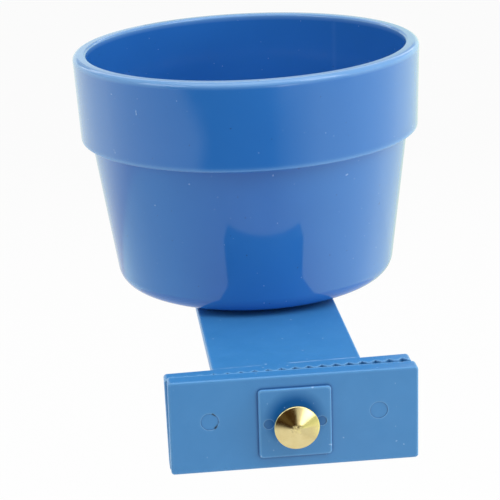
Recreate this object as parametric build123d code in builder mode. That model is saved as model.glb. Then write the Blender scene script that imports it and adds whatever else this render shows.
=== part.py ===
from build123d import *
import os
from math import cos, radians, sin

# Seed cup for a wire cage. The cup twists on to a bracket, and the bracket's two jaws
# close on the cage wires with a carriage bolt and a wing nut.
# The origin is on the bolt axis, in the plane of the bracket's tooth tips.
# +Y runs from the jaws towards the cup, +Z is up, and sizes are in millimetres.

# Jaws: the bracket's toothed back jaw and the clamp plate outside the cage
back_jaw_width = 65.8
clamp_width = 66.3
jaw_height = 26.2
jaw_corner_radius = 0.9
jaw_edge_radius = 0.6
back_jaw_thickness = 4.4
clamp_thickness = 4.2
jaw_gap = 0.12
clamp_skew = 1.0

# Upright grooves in the back jaw that take the wires
groove_pitch = 3.6
groove_width = 2.6
groove_depth = 1.3

# Square boss on the clamp plate, with the moulding's pin marks
boss_size = 19.4
boss_height = 0.9
boss_corner_radius = 1.0
boss_edge_radius = 0.4
plate_mark_diameter = 4.8
plate_mark_spacing = 45.0
plate_mark_rise = 1.5
boss_mark_diameter = 2.8
boss_mark_spacing = 14.0
mark_depth = 0.15

# Carriage bolt
bolt_diameter = 4.8
bolt_length = 25.4
bolt_end_chamfer = 0.6
head_diameter = 12.0
head_height = 2.2
head_rim = 0.9
head_edge_radius = 0.2
neck_size = 5.0
neck_exposed = 2.7

# Fits on the bolt
neck_clearance = 0.1
bolt_clearance = 0.3
washer_clearance = 0.2
thread_clearance = 0.1

# Washer and wing nut behind the back jaw
washer_diameter = 12.0
washer_thickness = 1.0
nut_base_diameter = 9.0
nut_top_diameter = 7.6
nut_height = 5.2
wing_span = 18.0
wing_thickness = 2.0
wing_rise = 9.0
wing_root_height = 1.0
wing_tip_height = 4.6
wing_top_inset = 3.6
wing_corner_radius = 1.6

# Arm of the bracket, which lies with its jaw a little to the left of the bolt and the cup
cup_reach = 80.5
bracket_shift = 0.6
arm_width = 40.0
arm_thickness = 3.0
arm_edge_radius = 0.5
arm_root_leg = 1.5
gusset_spacing = 32.0
gusset_thickness = 2.4
gusset_length = 14.0
gusset_drop = 11.0

# Twist lock: a stub with two lugs under the cup, in a keyed hole through the arm
stub_diameter = 21.0
stub_clearance = 0.4
lug_reach = 4.0
lug_angle = 60.0
lug_thickness = 2.5
lug_gap = 0.3
notch_spare_angle = 2.0
unlock_turn = 90.0
stop_spare_angle = 1.5
stop_height = 2.5
stub_core_diameter = 13.0

# Cup
rim_diameter = 102.0
cup_height = 69.6
lip_width = 4.0
lip_outer_radius = 1.5
lip_inner_radius = 0.8
band_height = 25.2
band_bottom_diameter = 100.2
band_edge_radius = 0.5
body_top_diameter = 94.2
body_bottom_diameter = 82.4
body_wall = 3.0
base_radius = 5.0
floor_thickness = 3.0
floor_radius = 5.0
ledge_rise = 2.5
pad_diameter = 36.0
pad_height = 1.4

# Levels and planes that the pieces share
arm_top = jaw_height / 2
arm_bottom = arm_top - arm_thickness
cup_base = arm_top + pad_height
clamp_face = -(jaw_gap + clamp_thickness)
head_seat = clamp_face - boss_height - neck_exposed
washer_seat = back_jaw_thickness
nut_seat = washer_seat + washer_thickness
skew_direction = (cos(radians(clamp_skew)), 0, -sin(radians(clamp_skew)))
clamp_back_plane = Plane(origin=(0, -jaw_gap, 0), x_dir=skew_direction, z_dir=(0, -1, 0))
clamp_front_plane = clamp_back_plane.offset(clamp_thickness)
boss_face_plane = clamp_front_plane.offset(boss_height)

# Turning parts of the twist lock, measured from the cup's axis
hole_radius = stub_diameter / 2 + stub_clearance
lug_radius = stub_diameter / 2 + lug_reach
notch_radius = lug_radius + stub_clearance
notch_half_angle = lug_angle / 2 + notch_spare_angle
stop_start = unlock_turn + notch_half_angle
stop_sweep = 180 - lug_angle / 2 - stop_spare_angle - stop_start


def axis_plane(height):
    """Level plane at a height, centred on the cup's axis."""
    return Plane(origin=(0, cup_reach, height))


def sector(radius, start, sweep):
    """Pie slice about the sketch's origin, from an angle and through a sweep."""
    with BuildLine() as slice_outline:
        side = PolarLine((0, 0), radius, start)
        curve = CenterArc((0, 0), radius, start, sweep)
        Line(curve @ 1, side @ 0)
    make_face(slice_outline.edges())


# Arm of the bracket: flat bar with a round end under the cup and softened edges
with BuildPart() as arm:
    arm_start = back_jaw_thickness / 2
    with BuildSketch(Plane(origin=(-bracket_shift, 0, arm_top))):
        with Locations((0, (arm_start + cup_reach) / 2)):
            Rectangle(arm_width, cup_reach - arm_start)
        with Locations((0, cup_reach)):
            Circle(arm_width / 2)
    extrude(amount=-arm_thickness)
    flat_faces = arm.faces().filter_by(Axis.Z)
    fillet(flat_faces.edges().sort_by(Axis.Y)[2:], arm_edge_radius)

# Bracket: the toothed back jaw and the arm in one moulding, with gussets in the corner
with BuildPart() as bracket:
    with BuildSketch(Plane(origin=(-bracket_shift, 0, 0), x_dir=(1, 0, 0), z_dir=(0, -1, 0))):
        RectangleRounded(back_jaw_width, jaw_height, jaw_corner_radius)
    extrude(amount=-back_jaw_thickness)
    fillet(bracket.faces().sort_by(Axis.Y)[-1].edges(), jaw_edge_radius)
    add(arm.part)
    with BuildSketch(Plane.YZ.offset(-bracket_shift)):
        with BuildLine():
            Polyline(
                (arm_start, arm_bottom + arm_edge_radius),
                (back_jaw_thickness + arm_root_leg, arm_bottom + arm_edge_radius),
                (back_jaw_thickness + arm_root_leg, arm_bottom),
                (back_jaw_thickness, arm_bottom - arm_root_leg),
                (arm_start, arm_bottom - arm_root_leg),
                close=True,
            )
        make_face()
    extrude(amount=gusset_spacing / 2, both=True)

    for side in (-1, 1):
        with BuildSketch(Plane.YZ.offset(side * gusset_spacing / 2 - bracket_shift)):
            with BuildLine():
                Polyline(
                    (arm_start, arm_bottom + arm_edge_radius),
                    (back_jaw_thickness + gusset_length, arm_bottom + arm_edge_radius),
                    (back_jaw_thickness + gusset_length, arm_bottom),
                    (back_jaw_thickness, arm_bottom - gusset_drop),
                    (arm_start, arm_bottom - gusset_drop),
                    close=True,
                )
            make_face()
        extrude(amount=gusset_thickness / 2, both=True)

    # Keyed hole for the stub and lugs, and the stops that end the turn
    with BuildSketch(axis_plane(arm_top)):
        Circle(hole_radius)
        sector(notch_radius, unlock_turn - notch_half_angle, 2 * notch_half_angle)
        sector(notch_radius, unlock_turn + 180 - notch_half_angle, 2 * notch_half_angle)
    extrude(amount=-arm_thickness, mode=Mode.SUBTRACT)
    with BuildSketch(axis_plane(arm_bottom)):
        sector(notch_radius, stop_start, stop_sweep)
        sector(notch_radius, stop_start + 180, stop_sweep)
        Circle(hole_radius, mode=Mode.SUBTRACT)
    extrude(amount=-stop_height)

    # Bolt hole and wire grooves
    with BuildSketch(Plane.XZ):
        Circle(bolt_diameter / 2 + bolt_clearance)
    extrude(amount=-back_jaw_thickness, mode=Mode.SUBTRACT)
    groove_pairs = int(((back_jaw_width - groove_width) / groove_pitch + 1) / 2)
    with BuildSketch(Plane(origin=(-bracket_shift, 0, -jaw_height / 2))):
        with GridLocations(groove_pitch, 0, 2 * groove_pairs, 1):
            Polygon((-groove_width / 2, 0), (groove_width / 2, 0), (0, groove_depth), align=None)
    extrude(amount=jaw_height, mode=Mode.SUBTRACT)

# Clamp plate: the outer jaw, with a square boss that holds the bolt's neck
with BuildPart() as clamp_plate:
    with BuildSketch(clamp_back_plane):
        RectangleRounded(clamp_width, jaw_height, jaw_corner_radius)
    extrude(amount=clamp_thickness)
    fillet(clamp_plate.faces().sort_by(Axis.Y)[0].edges(), jaw_edge_radius)
    with BuildSketch(clamp_front_plane):
        RectangleRounded(boss_size, boss_size, boss_corner_radius)
    extrude(amount=boss_height)
    fillet(clamp_plate.faces().sort_by(Axis.Y)[0].edges(), boss_edge_radius)
    with BuildSketch(clamp_front_plane):
        with Locations((0, plate_mark_rise)):
            with GridLocations(plate_mark_spacing, 0, 2, 1):
                Circle(plate_mark_diameter / 2)
    extrude(amount=-mark_depth, mode=Mode.SUBTRACT)
    with BuildSketch(boss_face_plane):
        with GridLocations(boss_mark_spacing, 0, 2, 1):
            Circle(boss_mark_diameter / 2)
    extrude(amount=-mark_depth, mode=Mode.SUBTRACT)
    with BuildSketch(boss_face_plane):
        Rectangle(neck_size + 2 * neck_clearance, neck_size + 2 * neck_clearance)
    extrude(amount=-boss_height, mode=Mode.SUBTRACT)
    with BuildSketch(clamp_front_plane):
        Circle(bolt_diameter / 2 + bolt_clearance)
    extrude(amount=-clamp_thickness, mode=Mode.SUBTRACT)

# Carriage bolt: shallow cone head, square neck seated in the boss, and shank
with BuildPart() as carriage_bolt:
    with BuildSketch(Plane.XY) as head_profile:
        with BuildLine():
            Polyline(
                (0, head_seat),
                (head_diameter / 2, head_seat),
                (head_diameter / 2, head_seat - head_rim),
                (0, head_seat - head_height),
                close=True,
            )
        make_face()
        fillet(head_profile.vertices().group_by(Axis.X)[-1], head_edge_radius)
    revolve(axis=Axis.Y)
    with BuildSketch(clamp_front_plane):
        Rectangle(neck_size, neck_size)
    extrude(amount=boss_height + neck_exposed)
    with BuildSketch(Plane.XZ.offset(-clamp_face)):
        Circle(bolt_diameter / 2)
    extrude(amount=clamp_face - head_seat - bolt_length)
    chamfer(carriage_bolt.edges().sort_by(Axis.Y)[-1], bolt_end_chamfer)

# Washer between the wing nut and the back jaw
with BuildPart() as washer:
    with BuildSketch(Plane.XZ.offset(-washer_seat)):
        Circle(washer_diameter / 2)
        Circle(bolt_diameter / 2 + washer_clearance, mode=Mode.SUBTRACT)
    extrude(amount=-washer_thickness)

# Wing nut: tapered hub with two upswept wings
with BuildPart() as wing_nut:
    with BuildSketch(Plane.XY):
        with BuildLine():
            Polyline(
                (0, nut_seat),
                (nut_base_diameter / 2, nut_seat),
                (nut_top_diameter / 2, nut_seat + nut_height),
                (0, nut_seat + nut_height),
                close=True,
            )
        make_face()
    revolve(axis=Axis.Y)
    with BuildSketch(Plane.XY) as wing_profile:
        with BuildLine():
            Polyline(
                (bolt_diameter / 2, nut_seat + wing_root_height),
                (wing_span / 2, nut_seat + wing_tip_height),
                (wing_span / 2, nut_seat + wing_rise),
                (wing_span / 2 - wing_top_inset, nut_seat + wing_rise),
                (bolt_diameter / 2, nut_seat + nut_height),
                close=True,
            )
        make_face()
        tips = wing_profile.vertices().filter_by_position(Axis.X, bolt_diameter / 2 + 0.01, wing_span)
        fillet(tips, wing_corner_radius)
        mirror(about=Plane.YZ)
    extrude(amount=wing_thickness / 2, both=True)
    with BuildSketch(Plane.XZ.offset(-nut_seat)):
        Circle(bolt_diameter / 2 + thread_clearance)
    extrude(amount=-wing_rise, mode=Mode.SUBTRACT)

# Cup: stepped and tapered wall with a flat lip, and the twist lock's stub below
with BuildPart() as cup:
    step_height = cup_height - band_height
    body_slope = (body_top_diameter - body_bottom_diameter) / 2 / step_height
    body_bottom = (body_bottom_diameter / 2, 0)
    body_top = (body_top_diameter / 2, step_height)
    band_bottom = (band_bottom_diameter / 2, step_height)
    lip_outside = (rim_diameter / 2, cup_height)
    lip_inside = (rim_diameter / 2 - lip_width, cup_height)
    ledge_top = (band_bottom_diameter / 2 - lip_width, step_height + ledge_rise)
    ledge_bottom = (body_top_diameter / 2 - body_wall, step_height)
    floor_edge = (body_bottom_diameter / 2 + body_slope * floor_thickness - body_wall, floor_thickness)
    with BuildSketch(Plane(origin=(0, cup_reach, cup_base), z_dir=(0, -1, 0), x_dir=(1, 0, 0))) as wall:
        with BuildLine():
            Polyline(
                (0, 0),
                body_bottom,
                body_top,
                band_bottom,
                lip_outside,
                lip_inside,
                ledge_top,
                ledge_bottom,
                floor_edge,
                (0, floor_thickness),
                close=True,
            )
        make_face()
        rounded_corners = (
            (body_bottom, base_radius),
            (band_bottom, band_edge_radius),
            (lip_outside, lip_outer_radius),
            (lip_inside, lip_inner_radius),
            (floor_edge, floor_radius),
        )
        for corner, radius in rounded_corners:
            fillet(wall.vertices().sort_by_distance((corner[0], corner[1], 0))[0], radius)
    revolve(axis=Axis((0, cup_reach, 0), (0, 0, 1)))

    # Seat pad, stub through the arm, and lugs that hook under it
    lug_top = arm_bottom - lug_gap
    stub_end = lug_top - lug_thickness
    with BuildSketch(axis_plane(cup_base)):
        Circle(pad_diameter / 2)
    extrude(amount=-pad_height)
    with BuildSketch(axis_plane(arm_top)):
        Circle(stub_diameter / 2)
    extrude(amount=stub_end - arm_top)
    with BuildSketch(axis_plane(stub_end)):
        sector(lug_radius, -lug_angle / 2, lug_angle)
        sector(lug_radius, 180 - lug_angle / 2, lug_angle)
    extrude(amount=lug_thickness)
    with BuildSketch(axis_plane(stub_end)):
        Circle(stub_core_diameter / 2)
    extrude(amount=cup_base - stub_end, mode=Mode.SUBTRACT)

pieces = {
    "bracket": bracket,
    "clamp_plate": clamp_plate,
    "carriage_bolt": carriage_bolt,
    "washer": washer,
    "wing_nut": wing_nut,
    "cup": cup,
}
os.makedirs("parts", exist_ok=True)
for name, piece in pieces.items():
    piece.part.label = name
    export_step(piece.part, f"parts/{name}.step")
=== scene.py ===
import math

import bmesh
import bpy
from mathutils import Matrix, Vector


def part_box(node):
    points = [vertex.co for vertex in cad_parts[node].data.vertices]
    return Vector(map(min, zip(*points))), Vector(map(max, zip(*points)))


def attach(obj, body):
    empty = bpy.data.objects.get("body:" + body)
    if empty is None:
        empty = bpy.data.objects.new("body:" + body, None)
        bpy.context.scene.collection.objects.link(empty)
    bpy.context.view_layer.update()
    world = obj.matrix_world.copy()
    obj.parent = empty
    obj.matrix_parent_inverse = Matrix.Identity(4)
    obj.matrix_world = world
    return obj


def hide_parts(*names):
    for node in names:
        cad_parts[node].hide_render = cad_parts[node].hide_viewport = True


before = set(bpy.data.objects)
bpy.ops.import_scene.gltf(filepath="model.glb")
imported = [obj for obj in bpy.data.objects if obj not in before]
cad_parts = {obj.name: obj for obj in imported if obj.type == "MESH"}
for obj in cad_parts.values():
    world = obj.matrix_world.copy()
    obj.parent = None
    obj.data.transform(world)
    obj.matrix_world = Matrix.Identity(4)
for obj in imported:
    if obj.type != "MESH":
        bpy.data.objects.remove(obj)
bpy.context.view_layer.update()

# Bracket: a flat arm and the toothed back jaw at its end, in one injection moulding of blue polypropylene.
# The tool's matt faces leave a satin skin with faint flow marks, and its edges come out slightly rounded.
# It is the piece that the others are fixed to, and its solid already has the finished shape.
MM = 0.001
arm_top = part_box("bracket")[1].z
jaw_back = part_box("washer")[0].y
boss_height = 0.9 * MM
clamp_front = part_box("clamp_plate")[0].y + boss_height
clamp_skew = math.radians(1.0)
clamp_turn = Matrix.Rotation(clamp_skew, 3, "Y")
boss_mark_offset = 7.0 * MM
boss_marks = [clamp_turn @ Vector((side * boss_mark_offset, 0, 0)) for side in (-1, 1)]
boss_mark_radius = 1.4 * MM
plate_mark = clamp_turn @ Vector((-22.5 * MM, 0, 1.5 * MM))
plate_mark_radius = 2.4 * MM
polypropylene_ior = 1.49
# Pale dust of the specks, also the colour of the painted highlight along the arm's parting line.
dust_and_highlight_colour = "#a9cdf0"


def linear(hex_colour):
    """Linear RGBA of an sRGB hex colour."""
    channels = [int(hex_colour[i:i + 2], 16) / 255 for i in (1, 3, 5)]
    straight = [c / 12.92 if c <= 0.04045 else ((c + 0.055) / 1.055) ** 2.4 for c in channels]
    return (*straight, 1.0)


def add_node(tree, kind, settings=None, links=None):
    """Adds a node, sets its properties or sockets, and links outputs to its sockets."""
    node = tree.nodes.new(kind)
    for key, value in (settings or {}).items():
        if isinstance(key, str) and hasattr(node, key):
            setattr(node, key, value)
        else:
            node.inputs[key].default_value = value
    for key, output in (links or {}).items():
        tree.links.new(output, node.inputs[key])
    return node


def new_material(name):
    """A node material, its tree and its Principled shader."""
    material = bpy.data.materials.new(name)
    material.use_nodes = True
    return material, material.node_tree, material.node_tree.nodes["Principled BSDF"]


def round_patch(tree, place, centre, radius, soft):
    """Mask that is 1 in a circle seen along y, and fades to 0 over a soft edge."""
    away = add_node(tree, "ShaderNodeVectorMath", {"operation": "SUBTRACT", 1: centre}, {0: place})
    flat = add_node(tree, "ShaderNodeVectorMath", {"operation": "MULTIPLY", 1: (1, 0, 1)},
                    {0: away.outputs[0]})
    reach = add_node(tree, "ShaderNodeVectorMath", {"operation": "LENGTH"}, {0: flat.outputs[0]})
    mask = add_node(tree, "ShaderNodeMapRange",
                    {"From Min": radius, "From Max": radius + soft, "To Min": 1.0, "To Max": 0.0},
                    {"Value": reach.outputs["Value"]})
    return mask.outputs["Result"]


def satin_polypropylene(blue, pale_blue, painted_light_blue, pin_and_corner_shade_blue, shade_blue, grime):
    """Polypropylene from a matt tool: a soft broad sheen over a colour that drifts with the melt's flow.
    Thin edges are painted paler as a painted highlight, and a pale painted highlight runs along the parting
    line across the arm. The boss's foot has painted shade in its corners, its pin marks are drawn darker, and
    a shadow of the bolt's head is painted round the head, where its sheen is turned down. Dust and grime sit
    on it from handling."""
    flow_width = 9 * MM
    edge_width = 0.8 * MM
    corner_width = 0.9 * MM
    front_depth = 0.5 * MM
    pin_fade = 0.2 * MM
    pin_share = 0.45
    shade_centre = (0, 0, 1.2 * MM)
    shade_radius = 5.0 * MM
    shade_fade = 3.6 * MM
    parting_half_width = 0.10 * MM
    parting_fade = 0.15 * MM
    parting_break = 9 * MM
    parting_depth = 0.3 * MM
    speck_size = 1.1 * MM
    grime_ring_width = 0.5 * MM
    grime_ring_fade = 0.3 * MM
    grime_patch = 2.2 * MM
    rub_size = 4 * MM
    # A matt tool leaves a grain of about 0.1 mm, too fine to show, so it is drawn coarser
    grain_size = 0.5 * MM
    grain_height = 0.006 * MM
    material, tree, shader = new_material("satin_polypropylene")
    shader.inputs["IOR"].default_value = polypropylene_ior
    place = add_node(tree, "ShaderNodeTexCoord").outputs["Object"]
    axes = add_node(tree, "ShaderNodeSeparateXYZ", None, {0: place}).outputs
    flow = add_node(tree, "ShaderNodeTexNoise", {"Scale": 1 / flow_width, "Detail": 3.0, "Distortion": 0.8},
                    {"Vector": place})
    base = add_node(tree, "ShaderNodeMix", {"data_type": "RGBA", 6: linear(blue), 7: linear(pale_blue)},
                    {0: flow.outputs["Fac"]})
    # The ejector pin marks on the boss are drawn darker.
    left_pin = round_patch(tree, place, boss_marks[0], boss_mark_radius, pin_fade)
    right_pin = round_patch(tree, place, boss_marks[1], boss_mark_radius, pin_fade)
    pins = add_node(tree, "ShaderNodeMath", {"operation": "ADD"}, {0: left_pin, 1: right_pin})
    outside = add_node(tree, "ShaderNodeMath", {"operation": "LESS_THAN", 1: clamp_front}, {0: axes["Y"]})
    marked = add_node(tree, "ShaderNodeMath", {"operation": "MULTIPLY"},
                      {0: pins.outputs[0], 1: outside.outputs[0]})
    front = add_node(tree, "ShaderNodeMath", {"operation": "LESS_THAN", 1: clamp_front + front_depth},
                     {0: axes["Y"]})
    # Painted shade: the concave corners at the boss's foot are painted darker, in the same deeper blue as the
    # pin marks.
    corner = add_node(tree, "ShaderNodeAmbientOcclusion",
                      {"samples": 8, "only_local": True, "Distance": corner_width})
    corner_shade = add_node(tree, "ShaderNodeMapRange", {"From Min": 0.95, "From Max": 0.6, "To Max": 0.9},
                      {"Value": corner.outputs["AO"]})
    pressed = add_node(tree, "ShaderNodeMath", {"operation": "MULTIPLY", 1: pin_share},
                       {0: marked.outputs[0]})
    painted_foot_shade = add_node(tree, "ShaderNodeMath", {"operation": "MULTIPLY"},
                    {0: corner_shade.outputs["Result"], 1: front.outputs[0]})
    darker = add_node(tree, "ShaderNodeMath", {"operation": "MAXIMUM"},
                      {0: painted_foot_shade.outputs[0], 1: pressed.outputs[0]})
    marks_and_corner_shade = add_node(tree, "ShaderNodeMix", {"data_type": "RGBA", 7: linear(pin_and_corner_shade_blue)},
                     {0: darker.outputs[0], 6: base.outputs[2]})
    # Painted shadow: the boss round the bolt's head is painted deeper blue, and its specular level is turned
    # down there.
    head_shadow_patch = round_patch(tree, place, shade_centre, shade_radius, shade_fade)
    shade = add_node(tree, "ShaderNodeMath", {"operation": "MULTIPLY"},
                     {0: head_shadow_patch, 1: outside.outputs[0]})
    shaded = add_node(tree, "ShaderNodeMix", {"data_type": "RGBA", 7: linear(shade_blue)},
                      {0: shade.outputs[0], 6: marks_and_corner_shade.outputs[2]})
    shadowed_specular = add_node(tree, "ShaderNodeMapRange", {"To Min": 0.5, "To Max": 0.15}, {"Value": shade.outputs[0]})
    tree.links.new(shadowed_specular.outputs["Result"], shader.inputs["Specular IOR Level"])
    # Painted highlight: thin convex edges are painted paler.
    depth = add_node(tree, "ShaderNodeAmbientOcclusion",
                     {"samples": 8, "inside": True, "only_local": True, "Distance": edge_width})
    edge = add_node(tree, "ShaderNodeMapRange", {"From Min": 0.92, "From Max": 0.55, "To Max": 0.8},
                    {"Value": depth.outputs["AO"]})
    edges = add_node(tree, "ShaderNodeMix", {"data_type": "RGBA", 7: linear(painted_light_blue)},
                     {0: edge.outputs["Result"], 6: shaded.outputs[2]})
    # Painted highlight: a pale line across the top of the arm along the parting line, mixed below with the
    # real dust specks.
    behind = add_node(tree, "ShaderNodeMath", {"operation": "SUBTRACT", 1: jaw_back}, {0: axes["Y"]})
    apart = add_node(tree, "ShaderNodeMath", {"operation": "ABSOLUTE"}, {0: behind.outputs[0]})
    line = add_node(tree, "ShaderNodeMapRange",
                    {"From Min": parting_half_width, "From Max": parting_half_width + parting_fade,
                     "To Min": 1.0, "To Max": 0.0},
                    {"Value": apart.outputs[0]})
    above = add_node(tree, "ShaderNodeMath", {"operation": "GREATER_THAN", 1: arm_top - parting_depth},
                     {0: axes["Z"]})
    broken = add_node(tree, "ShaderNodeTexNoise",
                      {"noise_dimensions": "1D", "Scale": 1 / parting_break, "Detail": 3.0},
                      {"W": axes["X"]})
    shown = add_node(tree, "ShaderNodeMapRange", {"From Min": 0.42, "From Max": 0.6, "To Max": 0.75},
                     {"Value": broken.outputs["Fac"]})
    on_top = add_node(tree, "ShaderNodeMath", {"operation": "MULTIPLY"},
                      {0: line.outputs["Result"], 1: above.outputs[0]})
    parting_highlight = add_node(tree, "ShaderNodeMath", {"operation": "MULTIPLY"},
                       {0: on_top.outputs[0], 1: shown.outputs["Result"]})
    dust = add_node(tree, "ShaderNodeTexNoise", {"Scale": 1 / speck_size, "Detail": 0.0}, {"Vector": place})
    specks = add_node(tree, "ShaderNodeMapRange", {"From Min": 0.81, "From Max": 0.85, "To Max": 0.6},
                      {"Value": dust.outputs["Fac"]})
    pale = add_node(tree, "ShaderNodeMath", {"operation": "MAXIMUM"},
                    {0: parting_highlight.outputs[0], 1: specks.outputs["Result"]})
    dust_and_highlight = add_node(tree, "ShaderNodeMix", {"data_type": "RGBA", 7: linear(dust_and_highlight_colour)},
                     {0: pale.outputs[0], 6: edges.outputs[2]})
    inner = round_patch(tree, place, plate_mark, plate_mark_radius - grime_ring_width, pin_fade)
    outer = round_patch(tree, place, plate_mark, plate_mark_radius, grime_ring_fade)
    ring = add_node(tree, "ShaderNodeMath", {"operation": "SUBTRACT"}, {0: outer, 1: inner})
    patches = add_node(tree, "ShaderNodeTexNoise", {"Scale": 1 / grime_patch, "Detail": 2.0},
                       {"Vector": place})
    caught = add_node(tree, "ShaderNodeMapRange", {"From Min": 0.52, "From Max": 0.62},
                      {"Value": patches.outputs["Fac"]})
    right = add_node(tree, "ShaderNodeMath", {"operation": "GREATER_THAN", 1: plate_mark.x}, {0: axes["X"]})
    right_ring = add_node(tree, "ShaderNodeMath", {"operation": "MULTIPLY"},
                          {0: ring.outputs[0], 1: right.outputs[0]})
    front_ring = add_node(tree, "ShaderNodeMath", {"operation": "MULTIPLY"},
                          {0: right_ring.outputs[0], 1: front.outputs[0]})
    dirt = add_node(tree, "ShaderNodeMath", {"operation": "MULTIPLY", "use_clamp": True},
                    {0: front_ring.outputs[0], 1: caught.outputs["Result"]})
    colour = add_node(tree, "ShaderNodeMix", {"data_type": "RGBA", 7: linear(grime)},
                      {0: dirt.outputs[0], 6: dust_and_highlight.outputs[2]})
    tree.links.new(colour.outputs[2], shader.inputs["Base Color"])
    rub = add_node(tree, "ShaderNodeTexNoise", {"Scale": 1 / rub_size, "Detail": 4.0}, {"Vector": place})
    sheen = add_node(tree, "ShaderNodeMapRange",
                     {"From Min": 0.3, "From Max": 0.7, "To Min": 0.30, "To Max": 0.42},
                     {"Value": rub.outputs["Fac"]})
    tree.links.new(sheen.outputs["Result"], shader.inputs["Roughness"])
    grain = add_node(tree, "ShaderNodeTexNoise", {"Scale": 1 / grain_size, "Detail": 2.0}, {"Vector": place})
    skin = add_node(tree, "ShaderNodeBump", {"Distance": grain_height}, {"Height": grain.outputs["Fac"]})
    tree.links.new(skin.outputs["Normal"], shader.inputs["Normal"])
    return material


def dress(node, material):
    """Gives a CAD node its material, in its object's own slots."""
    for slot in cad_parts[node].material_slots:
        slot.link = "OBJECT"
        slot.material = material


# Colours: base blue, its paler drift, painted edge highlight, pin marks and painted corner shade, painted
# head shadow, and grime.
satin_blue = satin_polypropylene("#3a85c4", "#458fce", "#84bdea", "#225b98", "#1c66b0", "#22384a")
dress("bracket", satin_blue)

# Cup: a tapered body with a stepped band and a flat lip, in one injection moulding of the same polypropylene.
# Its tool is polished, so the cup is glossy, and a faint pale streak at the back is a painted reflection.
# Under its floor a pad, a stub and two lugs make the twist lock that holds it on the arm.
cup_low, cup_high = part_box("cup")
cup_axis = Vector(((cup_low.x + cup_high.x) / 2, (cup_low.y + cup_high.y) / 2, 0))
pad_height = 1.4 * MM
pad_radius = 18.0 * MM
cup_base = arm_top + pad_height
cup_height = cup_high.z - cup_base
band_height = 25.2 * MM
step_height = cup_height - band_height
base_radius = 41.2 * MM
body_top_radius = 47.1 * MM
band_foot_radius = 50.1 * MM
rim_radius = 51.0 * MM
mouth_radius = 47.0 * MM
band_inner_radius = 46.1 * MM
body_inner_radius = 44.1 * MM
ledge_rise = 2.5 * MM
inner_floor_radius = 38.6 * MM
inner_floor_height = 3.0 * MM
stub_end = cup_low.z - cup_base
stub_radius = 10.5 * MM
stub_bore = 6.5 * MM
lug_radius = 14.5 * MM
lug_thickness = 2.5 * MM
lug_half_angle = math.radians(30)
cup_segments = 224


def rounded_outline(corners, arc_steps=8, hold=0.2 * MM):
    """Points of an outline through corners, each a radius, a height and the corner's rounding.
    A point just before and just after each arc keeps the faces beside it flat."""
    places = [Vector(corner[:2]) for corner in corners]
    points = [places[0]]
    for i in range(1, len(corners) - 1):
        here, radius = places[i], corners[i][2]
        before = (places[i - 1] - here).normalized()
        after = (places[i + 1] - here).normalized()
        half = before.angle(after) / 2
        reach = radius / math.tan(half)
        centre = here + (before + after).normalized() * (radius / math.sin(half))
        start = here + before * reach - centre
        turn = start.angle_signed(here + after * reach - centre)
        points.append(here + before * (reach + hold))
        for step in range(arc_steps + 1):
            points.append(centre + Matrix.Rotation(-turn * step / arc_steps, 2) @ start)
        points.append(here + after * (reach + hold))
    points.append(places[-1])
    return points


def lathe_tree():
    """Geometry Nodes tree that turns an outline, x the radius and z the height, once about the z axis."""
    tree = bpy.data.node_groups.new("lathe", "GeometryNodeTree")
    inputs = (("Outline", "Geometry"), ("Segments", "Int"), ("Weld", "Float"), ("Finish", "Material"))
    for label, kind in inputs:
        tree.interface.new_socket(label, in_out="INPUT", socket_type="NodeSocket" + kind)
    tree.interface.new_socket("Turned", in_out="OUTPUT", socket_type="NodeSocketGeometry")
    given = add_node(tree, "NodeGroupInput").outputs
    size = add_node(tree, "GeometryNodeAttributeDomainSize", None, {"Geometry": given["Outline"]})
    count = size.outputs["Point Count"]
    columns = add_node(tree, "ShaderNodeMath", {"operation": "ADD", 1: 1.0}, {0: given["Segments"]})
    sheet = add_node(tree, "GeometryNodeMeshGrid", None,
                     {"Vertices X": columns.outputs[0], "Vertices Y": count})
    index = add_node(tree, "GeometryNodeInputIndex").outputs[0]
    share = add_node(tree, "ShaderNodeMath", {"operation": "DIVIDE"}, {0: index, 1: count})
    column = add_node(tree, "ShaderNodeMath", {"operation": "FLOOR"}, {0: share.outputs[0]})
    row = add_node(tree, "ShaderNodeMath", {"operation": "MODULO"}, {0: index, 1: count})
    step = add_node(tree, "ShaderNodeMath", {"operation": "DIVIDE", 0: math.tau}, {1: given["Segments"]})
    angle = add_node(tree, "ShaderNodeMath", {"operation": "MULTIPLY"},
                     {0: column.outputs[0], 1: step.outputs[0]})
    position = add_node(tree, "GeometryNodeInputPosition").outputs[0]
    point = add_node(tree, "GeometryNodeSampleIndex", {"data_type": "FLOAT_VECTOR"},
                     {"Geometry": given["Outline"], "Value": position, "Index": row.outputs[0]})
    turned = add_node(tree, "ShaderNodeVectorRotate", {"rotation_type": "Z_AXIS"},
                      {"Vector": point.outputs[0], "Angle": angle.outputs[0]})
    placed = add_node(tree, "GeometryNodeSetPosition", None,
                      {"Geometry": sheet.outputs["Mesh"], "Position": turned.outputs[0]})
    welded = add_node(tree, "GeometryNodeMergeByDistance", None,
                      {"Geometry": placed.outputs[0], "Distance": given["Weld"]})
    smooth = add_node(tree, "GeometryNodeSetShadeSmooth", None, {"Geometry": welded.outputs[0]})
    whole = add_node(tree, "GeometryNodeRealizeInstances", None, {"Geometry": smooth.outputs[0]})
    finished = add_node(tree, "GeometryNodeSetMaterial", None,
                        {"Geometry": whole.outputs[0], "Material": given["Finish"]})
    add_node(tree, "NodeGroupOutput", None, {"Turned": finished.outputs[0]})
    return tree


def mesh_of(name, shape):
    """Mesh of a finished bmesh, with its faces turned outwards."""
    bmesh.ops.recalc_face_normals(shape, faces=shape.faces)
    mesh = bpy.data.meshes.new(name)
    shape.to_mesh(mesh)
    shape.free()
    return mesh


def plain_mesh(piece):
    """Mesh of an object with its modifiers applied."""
    return bpy.data.meshes.new_from_object(piece.evaluated_get(bpy.context.evaluated_depsgraph_get()))


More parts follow.
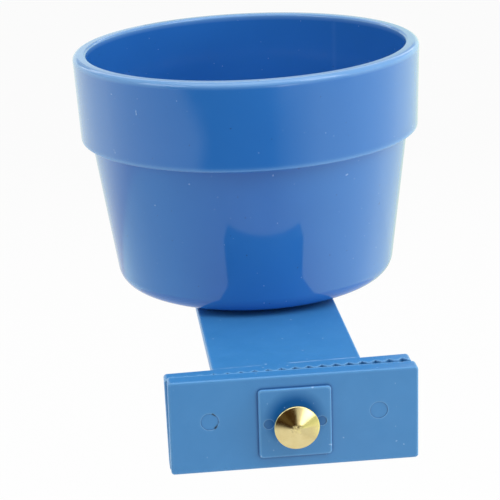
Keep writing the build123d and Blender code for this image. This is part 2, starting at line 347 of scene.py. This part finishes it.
def grown(name, tree, sizes, start):
    """Plain mesh that a Geometry Nodes tree makes of a start mesh, with its inputs set by name."""
    seed = bpy.data.objects.new(name, start)
    bpy.context.collection.objects.link(seed)
    modifier = seed.modifiers.new(tree.name, "NODES")
    modifier.node_group = tree
    for socket in tree.interface.items_tree:
        if socket.name in sizes:
            modifier[socket.identifier] = sizes[socket.name]
    made = plain_mesh(seed)
    seed.modifiers.remove(modifier)
    bpy.data.objects.remove(seed)
    shape = bmesh.new()
    shape.from_mesh(made)
    finished = mesh_of(name, shape)
    finished.materials.append(sizes["Finish"])
    return finished


def turned_mesh(name, outline, segments, finish, place):
    """Closed mesh of an outline turned on the lathe and put in its place."""
    start = bpy.data.meshes.new(name)
    start.from_pydata([(r, 0, z) for r, z in outline], [], [])
    mesh = grown(name, lathe, {"Segments": segments, "Weld": 0.001 * MM, "Finish": finish}, start)
    mesh.transform(place)
    return mesh


def solid_of(name, first, others, operation="UNION"):
    """One closed mesh of a first mesh with others joined to it or cut from it."""
    base = bpy.data.objects.new(name, first)
    bpy.context.collection.objects.link(base)
    tools = []
    for other in others:
        tool = bpy.data.objects.new(name + "_tool", other)
        bpy.context.collection.objects.link(tool)
        boolean = base.modifiers.new("solid", "BOOLEAN")
        boolean.operation = operation
        boolean.solver = "EXACT"
        boolean.object = tool
        tools.append(tool)
    finished = plain_mesh(base)
    finished.name = name
    for spare in (base, *tools):
        bpy.data.objects.remove(spare)
    return finished


def add_piece(name, mesh, finish, body, node):
    """Puts a finished mesh on a body, in place of a CAD node."""
    mesh.materials.clear()
    mesh.materials.append(finish)
    piece = bpy.data.objects.new(name, mesh)
    bpy.context.collection.objects.link(piece)
    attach(piece, body)
    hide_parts(node)
    return piece


def gloss_polypropylene(blue, pale_blue, painted_light_blue, grit_colour):
    """Polypropylene from a polished tool: clear reflections on a skin that is never quite flat, with a few
    specks of dust on it and of grit in it. The thin lip and edges are painted paler, a painted highlight, and
    a pale vertical streak at the back is a painted reflection."""
    flow_width = 30 * MM
    edge_width = 2.0 * MM
    lip_depth = 2.0 * MM
    lip_share = 0.56
    speck_size = 0.9 * MM
    rub_size = 3 * MM
    ripple_width = 16 * MM
    ripple_height = 0.010 * MM
    reflection_streak_azimuth = math.radians(42.5)
    reflection_streak_width = 1.2 * MM
    reflection_streak_share = 0.06
    material, tree, shader = new_material("gloss_polypropylene")
    shader.inputs["IOR"].default_value = polypropylene_ior
    place = add_node(tree, "ShaderNodeTexCoord").outputs["Object"]
    flow = add_node(tree, "ShaderNodeTexNoise", {"Scale": 1 / flow_width, "Detail": 3.0, "Distortion": 0.5},
                    {"Vector": place})
    # Painted reflection: a faint pale vertical streak on the rear half of the cup.
    across = Vector((math.cos(reflection_streak_azimuth), -math.sin(reflection_streak_azimuth), 0))
    along = Vector((math.sin(reflection_streak_azimuth), math.cos(reflection_streak_azimuth), 0))
    offset = add_node(tree, "ShaderNodeVectorMath", {"operation": "DOT_PRODUCT", 1: across}, {0: place})
    aside = add_node(tree, "ShaderNodeMath", {"operation": "SUBTRACT", 1: cup_axis.dot(across)},
                     {0: offset.outputs["Value"]})
    apart = add_node(tree, "ShaderNodeMath", {"operation": "ABSOLUTE"}, {0: aside.outputs[0]})
    line = add_node(tree, "ShaderNodeMapRange",
                    {"From Max": reflection_streak_width, "To Min": reflection_streak_share, "To Max": 0.0},
                    {"Value": apart.outputs[0]})
    ahead = add_node(tree, "ShaderNodeVectorMath", {"operation": "DOT_PRODUCT", 1: along}, {0: place})
    rear = add_node(tree, "ShaderNodeMath", {"operation": "GREATER_THAN", 1: cup_axis.dot(along)},
                    {0: ahead.outputs["Value"]})
    reflection_streak = add_node(tree, "ShaderNodeMath", {"operation": "MULTIPLY"},
                    {0: line.outputs["Result"], 1: rear.outputs[0]})
    base = add_node(tree, "ShaderNodeMix", {"data_type": "RGBA", 6: linear(blue), 7: linear(pale_blue)},
                    {0: flow.outputs["Fac"]})
    # Painted highlight: thin edges and the lip are painted paler.
    depth = add_node(tree, "ShaderNodeAmbientOcclusion",
                     {"samples": 8, "inside": True, "only_local": True, "Distance": edge_width})
    edge = add_node(tree, "ShaderNodeMapRange", {"From Min": 0.9, "From Max": 0.5, "To Max": 0.7},
                    {"Value": depth.outputs["AO"]})
    height = add_node(tree, "ShaderNodeSeparateXYZ", None, {0: place}).outputs["Z"]
    lip = add_node(tree, "ShaderNodeMapRange",
                   {"From Min": cup_high.z - lip_depth, "From Max": cup_high.z - 0.3 * lip_depth,
                    "To Max": lip_share},
                   {"Value": height})
    painted_lip_and_edges = add_node(tree, "ShaderNodeMath", {"operation": "MAXIMUM"},
                    {0: edge.outputs["Result"], 1: lip.outputs["Result"]})
    pale = add_node(tree, "ShaderNodeMath", {"operation": "MAXIMUM"},
                    {0: painted_lip_and_edges.outputs[0], 1: reflection_streak.outputs[0]})
    edges = add_node(tree, "ShaderNodeMix", {"data_type": "RGBA", 7: linear(painted_light_blue)},
                     {0: pale.outputs[0], 6: base.outputs[2]})
    dust = add_node(tree, "ShaderNodeTexNoise", {"Scale": 1 / speck_size, "Detail": 0.0}, {"Vector": place})
    specks = add_node(tree, "ShaderNodeMapRange", {"From Min": 0.855, "From Max": 0.885, "To Max": 0.5},
                      {"Value": dust.outputs["Fac"]})
    dust_and_highlight = add_node(tree, "ShaderNodeMix", {"data_type": "RGBA", 7: linear(dust_and_highlight_colour)},
                     {0: specks.outputs["Result"], 6: edges.outputs[2]})
    grit = add_node(tree, "ShaderNodeMapRange", {"From Min": 0.135, "From Max": 0.11, "To Max": 0.7},
                    {"Value": dust.outputs["Fac"]})
    colour = add_node(tree, "ShaderNodeMix", {"data_type": "RGBA", 7: linear(grit_colour)},
                      {0: grit.outputs["Result"], 6: dust_and_highlight.outputs[2]})
    tree.links.new(colour.outputs[2], shader.inputs["Base Color"])
    rub = add_node(tree, "ShaderNodeTexNoise", {"Scale": 1 / rub_size, "Detail": 5.0}, {"Vector": place})
    gloss = add_node(tree, "ShaderNodeMapRange",
                     {"From Min": 0.3, "From Max": 0.7, "To Min": 0.07, "To Max": 0.10},
                     {"Value": rub.outputs["Fac"]})
    tree.links.new(gloss.outputs["Result"], shader.inputs["Roughness"])
    ripple = add_node(tree, "ShaderNodeTexNoise", {"Scale": 1 / ripple_width, "Detail": 1.0},
                      {"Vector": place})
    skin = add_node(tree, "ShaderNodeBump", {"Distance": ripple_height}, {"Height": ripple.outputs["Fac"]})
    tree.links.new(skin.outputs["Normal"], shader.inputs["Normal"])
    return material


def raised(name, outline, rise):
    """Closed mesh of a flat outline raised along z."""
    shape = bmesh.new()
    flat = shape.faces.new([shape.verts.new(point) for point in outline])
    copied = bmesh.ops.extrude_face_region(shape, geom=[flat])["geom"]
    upper = [item for item in copied if isinstance(item, bmesh.types.BMVert)]
    bmesh.ops.translate(shape, verts=upper, vec=(0, 0, rise))
    return mesh_of(name, shape)


def lug(centre_angle):
    """Closed sector that stands out from the stub, from inside it to the lug's radius."""
    steps = 12
    root_depth = 0.5 * MM
    inner, outer = [], []
    place = cup_axis + Vector((0, 0, cup_base + stub_end))
    for ring, radius in ((inner, stub_radius - root_depth), (outer, lug_radius)):
        for i in range(steps + 1):
            angle = centre_angle + lug_half_angle * (2 * i / steps - 1)
            ring.append(place + Vector((radius * math.cos(angle), radius * math.sin(angle), 0)))
    return raised("lug", inner + outer[::-1], lug_thickness)


lathe = lathe_tree()
cup_corners = [
    (0, 0, 0),
    (stub_bore, 0, 0.5 * MM),
    (stub_bore, stub_end, 0.4 * MM),
    (stub_radius, stub_end, 0.4 * MM),
    (stub_radius, -pad_height, 0.2 * MM),
    (pad_radius, -pad_height, 0.3 * MM),
    (pad_radius, 0, 0.3 * MM),
    (base_radius, 0, 5.0 * MM),
    (body_top_radius, step_height, 0.3 * MM),
    (band_foot_radius, step_height, 0.5 * MM),
    (rim_radius, cup_height, 1.5 * MM),
    (mouth_radius, cup_height, 0.8 * MM),
    (band_inner_radius, step_height + ledge_rise, 0.8 * MM),
    (body_inner_radius, step_height, 0.8 * MM),
    (inner_floor_radius, inner_floor_height, 5.0 * MM),
    (0, inner_floor_height, 0),
]
# Colours: base blue, its paler drift, the painted light of lip, edges and rear streak, and grit.
gloss_blue = gloss_polypropylene("#276dbc", "#2f77c6", "#86bbe8", "#2a3a52")
cup_place = Matrix.Translation(cup_axis + Vector((0, 0, cup_base)))
cup_wall = turned_mesh("cup_moulding", rounded_outline(cup_corners), cup_segments, gloss_blue, cup_place)
cup_mesh = solid_of("cup_moulding", cup_wall, [lug(0), lug(math.pi)])
add_piece("cup_moulding", cup_mesh, gloss_blue, "cup", "cup")

# Clamp plate: the outer jaw, moulded in the same satin polypropylene as the bracket.
# A square boss stiffens it round the bolt, and the tool's ejector pins left round marks in its face.
# It closes on the cage wires against the bracket's teeth, and its solid already has the finished shape.
dress("clamp_plate", satin_blue)

# Carriage bolt: steel, cold headed and thread rolled, then brass plated.
# Its head is a shallow cone, and its square neck sits in the boss and stops it turning.
# It slides with the clamp plate as the wing nut is turned.
head_low, head_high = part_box("carriage_bolt")
head_height = 2.2 * MM
head_rim = 0.9 * MM
head_seat = head_low.y + head_height
bolt_diameter = 4.8 * MM
thread_pitch = 25.4 * MM / 24
thread_depth = 0.61 * thread_pitch
neck_size = 5.0 * MM
neck_rounding = 0.35 * MM


def brass_plated_steel(brass_yellow, stain_yellow):
    """Bright brass plating: a mirror a little dulled by handling, with the header die's rings under it,
    and a few small dents where tools have touched the tip of the head."""
    # The die's rings are about 0.1 mm apart, too fine to show, so they are drawn wider
    ring_spacing = 0.35 * MM
    ring_height = 0.002 * MM
    stain_size = 3 * MM
    dented_place = (-0.3 * MM, 0, -0.2 * MM)
    dented_radius = 0.8 * MM
    dent_size = 0.7 * MM
    dent_height = 0.05 * MM
    material, tree, shader = new_material("brass_plated_steel")
    shader.inputs["Metallic"].default_value = 1.0
    place = add_node(tree, "ShaderNodeTexCoord").outputs["Object"]
    stain = add_node(tree, "ShaderNodeTexNoise", {"Scale": 1 / stain_size, "Detail": 4.0}, {"Vector": place})
    colour = add_node(tree, "ShaderNodeMix",
                      {"data_type": "RGBA", 6: linear(brass_yellow), 7: linear(stain_yellow)},
                      {0: stain.outputs["Fac"]})
    tree.links.new(colour.outputs[2], shader.inputs["Base Color"])
    gloss = add_node(tree, "ShaderNodeMapRange",
                     {"From Min": 0.3, "From Max": 0.7, "To Min": 0.10, "To Max": 0.18},
                     {"Value": stain.outputs["Fac"]})
    tree.links.new(gloss.outputs["Result"], shader.inputs["Roughness"])
    flat = add_node(tree, "ShaderNodeVectorMath", {"operation": "MULTIPLY", 1: (1, 0, 1)}, {0: place})
    radius = add_node(tree, "ShaderNodeVectorMath", {"operation": "LENGTH"}, {0: flat.outputs[0]})
    rings = add_node(tree, "ShaderNodeTexNoise", {"noise_dimensions": "1D", "Scale": 1 / ring_spacing},
                     {"W": radius.outputs["Value"]})
    turned_skin = add_node(tree, "ShaderNodeBump", {"Distance": ring_height},
                           {"Height": rings.outputs["Fac"]})
    near_tip = round_patch(tree, place, dented_place, dented_radius, dented_radius)
    dents = add_node(tree, "ShaderNodeTexNoise", {"Scale": 1 / dent_size, "Detail": 1.0, "Distortion": 1.2},
                     {"Vector": place})
    dented = add_node(tree, "ShaderNodeMapRange", {"From Min": 0.52, "From Max": 0.62},
                      {"Value": dents.outputs["Fac"]})
    pressed = add_node(tree, "ShaderNodeMath", {"operation": "MULTIPLY"},
                       {0: dented.outputs["Result"], 1: near_tip})
    skin = add_node(tree, "ShaderNodeBump", {"Distance": dent_height, "invert": True},
                    {"Height": pressed.outputs[0], "Normal": turned_skin.outputs["Normal"]})
    tree.links.new(skin.outputs["Normal"], shader.inputs["Normal"])
    return material


def thread_tree():
    """Geometry Nodes tree of a rolled thread: a bar along z whose radius follows a helix, with a chamfered
    end."""
    tree = bpy.data.node_groups.new("rolled_thread", "GeometryNodeTree")
    inputs = (("Bar", "Geometry"), ("Radius", "Float"), ("Length", "Float"), ("Pitch", "Float"),
              ("Depth", "Float"), ("Chamfer", "Float"), ("Sides", "Int"), ("Rows", "Int"),
              ("Finish", "Material"))
    for label, kind in inputs:
        tree.interface.new_socket(label, in_out="INPUT", socket_type="NodeSocket" + kind)
    tree.interface.new_socket("Thread", in_out="OUTPUT", socket_type="NodeSocketGeometry")
    given = add_node(tree, "NodeGroupInput").outputs
    bar = add_node(tree, "GeometryNodeMeshCylinder", None,
                   {"Vertices": given["Sides"], "Side Segments": given["Rows"], "Radius": given["Radius"],
                    "Depth": given["Length"]})
    place = add_node(tree, "GeometryNodeInputPosition").outputs[0]
    axes = add_node(tree, "ShaderNodeSeparateXYZ", None, {0: place}).outputs
    angle = add_node(tree, "ShaderNodeMath", {"operation": "ARCTAN2"}, {0: axes["Y"], 1: axes["X"]})
    turn = add_node(tree, "ShaderNodeMath", {"operation": "DIVIDE", 1: math.tau}, {0: angle.outputs[0]})
    climb = add_node(tree, "ShaderNodeMath", {"operation": "DIVIDE"}, {0: axes["Z"], 1: given["Pitch"]})
    phase = add_node(tree, "ShaderNodeMath", {"operation": "SUBTRACT"},
                     {0: climb.outputs[0], 1: turn.outputs[0]})
    wave = add_node(tree, "ShaderNodeMath", {"operation": "PINGPONG", 1: 0.5}, {0: phase.outputs[0]})
    dip = add_node(tree, "ShaderNodeMapRange", {"From Min": 0.06, "From Max": 0.44},
                   {"Value": wave.outputs[0], "To Max": given["Depth"]})
    end = add_node(tree, "ShaderNodeMath", {"operation": "DIVIDE", 1: 2.0}, {0: given["Length"]})
    near = add_node(tree, "ShaderNodeMath", {"operation": "SUBTRACT"},
                    {0: end.outputs[0], 1: given["Chamfer"]})
    taper = add_node(tree, "ShaderNodeMapRange", None,
                     {"Value": axes["Z"], "From Min": near.outputs[0], "From Max": end.outputs[0],
                      "To Max": given["Chamfer"]})
    loss = add_node(tree, "ShaderNodeMath", {"operation": "MAXIMUM"},
                    {0: dip.outputs["Result"], 1: taper.outputs["Result"]})
    share = add_node(tree, "ShaderNodeMath", {"operation": "DIVIDE"},
                     {0: loss.outputs[0], 1: given["Radius"]})
    keep = add_node(tree, "ShaderNodeMath", {"operation": "SUBTRACT", 0: 1.0}, {1: share.outputs[0]})
    scale = add_node(tree, "ShaderNodeCombineXYZ", {"Z": 1.0}, {"X": keep.outputs[0], "Y": keep.outputs[0]})
    moved = add_node(tree, "ShaderNodeVectorMath", {"operation": "MULTIPLY"}, {0: place, 1: scale.outputs[0]})
    shaped = add_node(tree, "GeometryNodeSetPosition", None,
                      {"Geometry": bar.outputs["Mesh"], "Position": moved.outputs[0]})
    whole = add_node(tree, "GeometryNodeRealizeInstances", None, {"Geometry": shaped.outputs[0]})
    finished = add_node(tree, "GeometryNodeSetMaterial", None,
                        {"Geometry": whole.outputs[0], "Material": given["Finish"]})
    add_node(tree, "NodeGroupOutput", None, {"Thread": finished.outputs[0]})
    return tree


def square_neck(size, rounding, front, back):
    """Square bar along y with rounded long edges, turned with the clamp plate."""
    shape = bmesh.new()
    bmesh.ops.create_cube(shape, size=1)
    bmesh.ops.scale(shape, verts=shape.verts, vec=(size, back - front, size))
    long_edges = [edge for edge in shape.edges if edge.verts[0].co.x == edge.verts[1].co.x
                  and edge.verts[0].co.z == edge.verts[1].co.z]
    bmesh.ops.bevel(shape, geom=long_edges, offset=rounding, segments=3, affect="EDGES", profile=0.5)
    bmesh.ops.translate(shape, verts=shape.verts, vec=(0, (front + back) / 2, 0))
    bmesh.ops.rotate(shape, verts=shape.verts, matrix=clamp_turn)
    return mesh_of("square_neck", shape)


def on_bolt(level, angle):
    """Place on the bolt's axis of a mesh turned about z: 90 degrees points its top outwards, and -90 at the
    cup."""
    return Matrix.Translation((0, level, 0)) @ Matrix.Rotation(math.radians(angle), 4, "X")


brass = brass_plated_steel("#e6d9a4", "#d6c186")
head_radius = head_high.x
head_slope = math.atan2(head_height - head_rim, head_radius)
tip_radius = 1.0 * MM
tip_height = head_height - tip_radius * math.tan(head_slope)
tip_rounding = 0.9 * tip_radius / math.tan(head_slope / 2)
head_corners = [
    (0, 0, 0),
    (head_radius, 0, 0.2 * MM),
    (head_radius, head_rim, 0.25 * MM),
    (tip_radius, tip_height, tip_rounding),
    (0, tip_height, 0),
]
fine_hold = 0.05 * MM
metal_segments = 96
head_outline = rounded_outline(head_corners, hold=fine_hold)
bolt_head = turned_mesh("bolt_head", head_outline, metal_segments, brass, on_bolt(head_seat, 90))
thread_start = clamp_front + 0.4 * MM
thread_length = head_high.y - thread_start
rows_each_turn = 14
thread_sizes = {
    "Radius": bolt_diameter / 2,
    "Length": thread_length,
    "Pitch": thread_pitch,
    "Depth": thread_depth,
    "Chamfer": 0.6 * MM,
    "Sides": 56,
    "Rows": round(thread_length / thread_pitch * rows_each_turn),
    "Finish": brass,
}
bolt_thread = grown("bolt_thread", thread_tree(), thread_sizes, bpy.data.meshes.new("bar"))
bolt_thread.transform(on_bolt(thread_start + thread_length / 2, -90))
neck_root = 0.2 * MM
neck = square_neck(neck_size, neck_rounding, head_seat - neck_root, clamp_front)
core_radius = 1.7 * MM
core_length = 2.0 * MM
core_corners = [
    (0, 0, 0),
    (core_radius, 0, 0.1 * MM),
    (core_radius, core_length, 0.1 * MM),
    (0, core_length, 0),
]
core_outline = rounded_outline(core_corners, 3, fine_hold)
core = turned_mesh("bolt_core", core_outline, 32, brass, on_bolt(thread_start + core_length / 2, 90))
bolt_mesh = solid_of("carriage_bolt_plated", bolt_head, [neck, core, bolt_thread])
add_piece("carriage_bolt_plated", bolt_mesh, brass, "clamp", "carriage_bolt")

# Washer: punched from steel strip and plated like the bolt, between the wing nut and the plastic.
# Punching rolls the edges of one face over and leaves those of the other crisp.
washer_low, washer_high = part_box("washer")
washer_thickness = washer_high.y - washer_low.y
washer_radius = washer_high.x
washer_bore = 2.6 * MM
washer_seam = washer_bore + 1.5 * MM
washer_corners = [
    (washer_seam, 0, 0),
    (washer_radius, 0, 0.08 * MM),
    (washer_radius, washer_thickness, 0.3 * MM),
    (washer_bore, washer_thickness, 0.2 * MM),
    (washer_bore, 0, 0.08 * MM),
    (washer_seam, 0, 0),
]
washer_outline = rounded_outline(washer_corners, 4, fine_hold)
washer_mesh = turned_mesh("washer_plated", washer_outline, metal_segments, brass, on_bolt(washer_low.y, -90))
add_piece("washer_plated", washer_mesh, brass, "bracket", "washer")

# Wing nut: hot-forged steel, plated like the bolt, with soft edges where the forging die met.
# Its hub seats on the washer, and its two wings are turned by hand under the arm.
nut_low, nut_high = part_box("wing_nut")
nut_seat = nut_low.y
hub_base_radius = 4.5 * MM
hub_top_radius = 3.8 * MM
hub_height = 5.2 * MM
hub_segments = 64
hub_corners = [
    (0, 0, 0),
    (hub_base_radius, 0, 0.3 * MM),
    (hub_top_radius, hub_height, 0.4 * MM),
    (0, hub_height, 0),
]


def wing(side):
    """Closed upswept wing: its outline in the plane of the bolt's axis, raised to its thickness."""
    span, rise, thickness = nut_high.x, nut_high.y - nut_seat, 2.0 * MM
    tip_low = 4.6 * MM
    tip_width = 3.6 * MM
    wing_rounding = 1.9 * MM
    inner_end, root, root_top = 2.4 * MM, 2.6 * MM, 5.0 * MM
    corners = [
        (inner_end, 1.0 * MM, 0),
        (root, 1.1 * MM, 0.1 * MM),
        (span, tip_low, wing_rounding),
        (span, rise, wing_rounding),
        (span - tip_width, rise, wing_rounding),
        (root, root_top, 0.1 * MM),
        (inner_end, root_top, 0),
    ]
    outline = [(side * x, nut_seat + y, -thickness / 2) for x, y in rounded_outline(corners, 6, 0.02 * MM)]
    return raised("wing", outline, thickness)


def forged(name, mesh, grain, passes):
    """Copy of a mesh with its corners blended, as a die fills them."""
    rough = bpy.data.objects.new(name, mesh)
    bpy.context.collection.objects.link(rough)
    skin = rough.modifiers.new("skin", "REMESH")
    skin.mode = "VOXEL"
    skin.voxel_size = grain
    skin.use_smooth_shade = True
    blend = rough.modifiers.new("blend", "SMOOTH")
    blend.factor = 0.5
    blend.iterations = passes
    finished = plain_mesh(rough)
    bpy.data.objects.remove(rough)
    return finished


nut_place = on_bolt(nut_seat, -90)
forging_grain = 0.16 * MM
forging_passes = 6
hub = turned_mesh("hub", rounded_outline(hub_corners), hub_segments, brass, nut_place)
sharp_nut = solid_of("wing_nut_blank", hub, [wing(1), wing(-1)])
nut_blank = forged("wing_nut_blank", sharp_nut, forging_grain, forging_passes)
bore_radius = bolt_diameter / 2 + 0.1 * MM
bore_rounding = 0.05 * MM
bore_low, bore_high = -1.0 * MM, 6.0 * MM
bore_corners = [
    (0, bore_low, 0),
    (bore_radius + 1.5 * MM, bore_low, bore_rounding),
    (bore_radius, 0.5 * MM, bore_rounding),
    (bore_radius, 4.8 * MM, bore_rounding),
    (bore_radius + 1.2 * MM, bore_high, bore_rounding),
    (0, bore_high, 0),
]
bore = turned_mesh("bore", rounded_outline(bore_corners, 3, fine_hold), hub_segments, brass, nut_place)
nut_mesh = solid_of("wing_nut_plated", nut_blank, [bore], "DIFFERENCE")
add_piece("wing_nut_plated", nut_mesh, brass, "wing_nut", "wing_nut")

# Studio: a pale paper floor well below the hanging cup, lit by soft boxes and a white room.
# A wall of light stands round it, which only reflections show: a window on the left, a dark front where the
# camera stands, and light that grows to the right. Smaller cards near it shape single reflections.
floor_level = -0.30
floor_half = 6


def clear_share(tree, hidden, clear):
    """Value that is clear for the camera, mirrors and glass, and hidden for the light that falls on the
    part."""
    path = add_node(tree, "ShaderNodeLightPath").outputs
    seen = add_node(tree, "ShaderNodeMath", {"operation": "MAXIMUM"},
                    {0: path["Is Camera Ray"], 1: path["Is Glossy Ray"]})
    through = add_node(tree, "ShaderNodeMath", {"operation": "MAXIMUM"},
                       {0: seen.outputs[0], 1: path["Is Transmission Ray"]})
    share = add_node(tree, "ShaderNodeMapRange", {"To Min": hidden, "To Max": clear},
                     {"Value": through.outputs[0]})
    return share.outputs["Result"]


paper, tree, shader = new_material("white_paper")
shader.inputs["Base Color"].default_value = linear("#f2f2f2")
shader.inputs["Roughness"].default_value = 0.9
glow = add_node(tree, "ShaderNodeEmission", {"Color": (1, 1, 1, 1), "Strength": 1.0})
mix = add_node(tree, "ShaderNodeMixShader", None,
               {0: clear_share(tree, 0.5, 0.95), 1: shader.outputs[0], 2: glow.outputs[0]})
tree.links.new(mix.outputs[0], tree.nodes["Material Output"].inputs["Surface"])
floor_sides = ((-1, -1), (1, -1), (1, 1), (-1, 1))
floor_corners = [(x * floor_half, y * floor_half, floor_level) for x, y in floor_sides]
floor_mesh = bpy.data.meshes.new("floor")
floor_mesh.from_pydata(floor_corners, [], [(0, 1, 2, 3)])
floor_mesh.materials.append(paper)
floor = bpy.data.objects.new("floor", floor_mesh)
bpy.context.collection.objects.link(floor)

world = bpy.data.worlds.new("white_room")
bpy.context.scene.world = world
world.use_nodes = True
room = world.node_tree.nodes["Background"]
room.inputs["Color"].default_value = (1, 1, 1, 1)
world.node_tree.links.new(clear_share(world.node_tree, 0.25, 1.0), room.inputs["Strength"])


def screen(name, rows):
    """Sheet round the cup that only mirrors see. A row has a radius, a height and tones along it, each an
    azimuth, 0 straight in front and 90 on the right, a strength and a colour. The sheet blends evenly between
    them."""
    steps = 8
    corners, glows, faces = [], [], []
    for radius, height, tones in rows:
        for i, (azimuth, strength, colour) in enumerate(tones):
            last = i == len(tones) - 1
            next_azimuth, next_strength, next_colour = tones[i] if last else tones[i + 1]
            here = Vector(linear(colour)[:3]) * strength
            there = Vector(linear(next_colour)[:3]) * next_strength
            for step in range(1 if last else steps):
                angle = math.radians(azimuth + (next_azimuth - azimuth) * step / steps)
                away = Vector((radius * math.sin(angle), -radius * math.cos(angle), height))
                corners.append(cup_axis + away)
                glows.append(here.lerp(there, step / steps))
    across = len(corners) // len(rows)
    for i in range(len(corners) - across):
        if (i + 1) % across:
            faces.append((i, i + across, i + across + 1, i + 1))
    mesh = bpy.data.meshes.new(name)
    mesh.from_pydata(corners, [], faces)
    layer = mesh.attributes.new("glow", "FLOAT_VECTOR", "POINT")
    for point, glow in zip(layer.data, glows):
        point.vector = glow
    sheet = bpy.data.materials.new(name)
    sheet.use_nodes = True
    tone = add_node(sheet.node_tree, "ShaderNodeAttribute", {"attribute_name": "glow"})
    light = add_node(sheet.node_tree, "ShaderNodeEmission", {"Strength": 1.0},
                     {"Color": tone.outputs["Vector"]})
    sheet.node_tree.links.new(light.outputs[0], sheet.node_tree.nodes["Material Output"].inputs["Surface"])
    mesh.materials.append(sheet)
    piece = bpy.data.objects.new(name, mesh)
    bpy.context.collection.objects.link(piece)
    piece.visible_camera = False
    piece.visible_diffuse = False
    piece.visible_shadow = False


def wall_tones(edge, rear):
    """Tones of the wall at one height, where the left window ends at the azimuth edge."""
    return [
        (-180, rear + 0.2, "#f5fff4"),
        (-110, 2.1, "#f2fffa"),
        (edge - 5, 1.1, "#f0ffff"),
        (edge + 5, 0.03, "#c08a4a"),
        (8, 0.12, "#c08a4a"),
        (10, 0.15, "#f4ffd2"),
        (40, 1.55, "#f4ffd2"),
        (110, 2.15, "#f2ffde"),
        (180, rear - 0.1, "#f0ffe8"),
    ]


wall_radius = 0.75
wall_foot_height = -0.28
wall_heights = [
    (-0.20, -41, 0.60),
    (-0.186, -40, 0.62),
    (-0.17, -34, 0.64),
    (-0.16, -35, 0.66),
    (-0.142, -42, 0.68),
    (-0.13, -46, 0.70),
    (-0.06, -59, 0.75),
    (0.28, -59, 0.95),
]
white = "#ffffff"
wall_foot = [(tone[0], 1.0, white) if tone[0] < 40 else tone for tone in wall_tones(-41, 0.60)]
wall_rows = [(wall_radius, height, wall_tones(edge, rear)) for height, edge, rear in wall_heights]
screen("wall", [(wall_radius, wall_foot_height, wall_foot)] + wall_rows)


def card(name, low, high, tones):
    """Screen between two circles (radius, height) with the same tones on both."""
    screen(name, [(*low, tones), (*high, tones)])


floor_inner = (0.45, -0.295)
floor_outer = (wall_radius, wall_foot_height)
card("left_floor", floor_inner, floor_outer,
     [(-165, 0.95, white), (-140, 1.5, "#e4fffd"), (-75, 1.4, "#e4fffd"), (-25, 0.95, white)])
card("right_floor", floor_inner, floor_outer,
     [(5, 0.95, white), (50, 1.75, "#f4ffd6"), (105, 2.1, "#f2ffde"), (180, 0.45, "#f0ffe8")])
card("rear_top", (0.74, 0.247), (0.74, 0.45), [(150, 0.55, white), (210, 0.55, white)])
card("bright_card", (0.74, -0.115), (0.74, 0.06),
     [(5, 0.8, white), (12, 1.1, white), (15, 3.0, white), (21, 3.0, white), (28, 1.4, white),
      (40, 0.85, white), (62, 0.85, white)])
card("pale_card", (0.74, -0.115), (0.74, -0.03), [(-20, 0.12, "#ffd9a0"), (-7, 0.12, "#ffd9a0")])
card("head_card", (0.122, -0.033), (0.122, -0.014), [(4.8, 0.86, white), (11.4, 0.86, white)])


def way_out(azimuth, elevation):
    """Direction from the cup at an azimuth, 0 straight in front and 90 on the right, and an elevation."""
    turn, lift = math.radians(azimuth), math.radians(elevation)
    return Vector((math.sin(turn) * math.cos(lift), -math.cos(turn) * math.cos(lift), math.sin(lift)))


def soft_box(name, azimuth, elevation, distance, size, radiance):
    """White soft box that faces the cup; its radiance is what a mirror would show of it."""
    data = bpy.data.lights.new(name, "AREA")
    data.shape = "RECTANGLE"
    data.size, data.size_y = size
    data.energy = radiance * math.pi * size[0] * size[1]
    lamp = bpy.data.objects.new(name, data)
    bpy.context.collection.objects.link(lamp)
    way = way_out(azimuth, elevation)
    aim_height = 0.05
    lamp.location = cup_axis + Vector((0, 0, aim_height)) + way * distance
    lamp.rotation_mode = "QUATERNION"
    lamp.rotation_quaternion = way.to_track_quat("Z", "Y")
    lamp.visible_camera = False


soft_box("top_box", 0, 78, 0.9, (1.0, 0.8), 1.85)
soft_box("left_box", -65, 25, 1.1, (0.6, 0.6), 2.4)
soft_box("right_box", 50, 40, 1.1, (0.5, 0.5), 4.4)
soft_box("low_right_box", 75, 5, 1.1, (0.6, 0.6), 4.6)
soft_box("back_box", 180, 22, 1.1, (1.6, 0.6), 1.5)

# Camera: the photograph's view, a long lens a little above and to the left of straight ahead.
# Its place, its turn and its focal length, in pixels of a picture 500 wide, were fitted to the part's edges.
image_width = 500
focal_length = 1754.6
sensor_width = 36
camera_azimuth, camera_elevation, camera_roll = -5.422, 18.199, -2.817
camera_distance = 504.7 * MM
camera_target = Vector((-4.463 * MM, cup_axis.y - 30.0 * MM, arm_top + 17.18 * MM))
back = way_out(camera_azimuth, camera_elevation)
level_right = Vector((0, 0, 1)).cross(back).normalized()
right = Matrix.Rotation(math.radians(camera_roll), 3, back) @ level_right
up = back.cross(right)
lens = bpy.data.cameras.new("photo_camera")
lens.sensor_width = sensor_width
lens.lens = focal_length / image_width * sensor_width
camera = bpy.data.objects.new("photo_camera", lens)
bpy.context.collection.objects.link(camera)
turned_axes = Matrix((right, up, back)).transposed().to_4x4()
camera.matrix_world = Matrix.Translation(camera_target + back * camera_distance) @ turned_axes
bpy.context.scene.camera = camera
bpy.context.scene.view_settings.view_transform = "Standard"
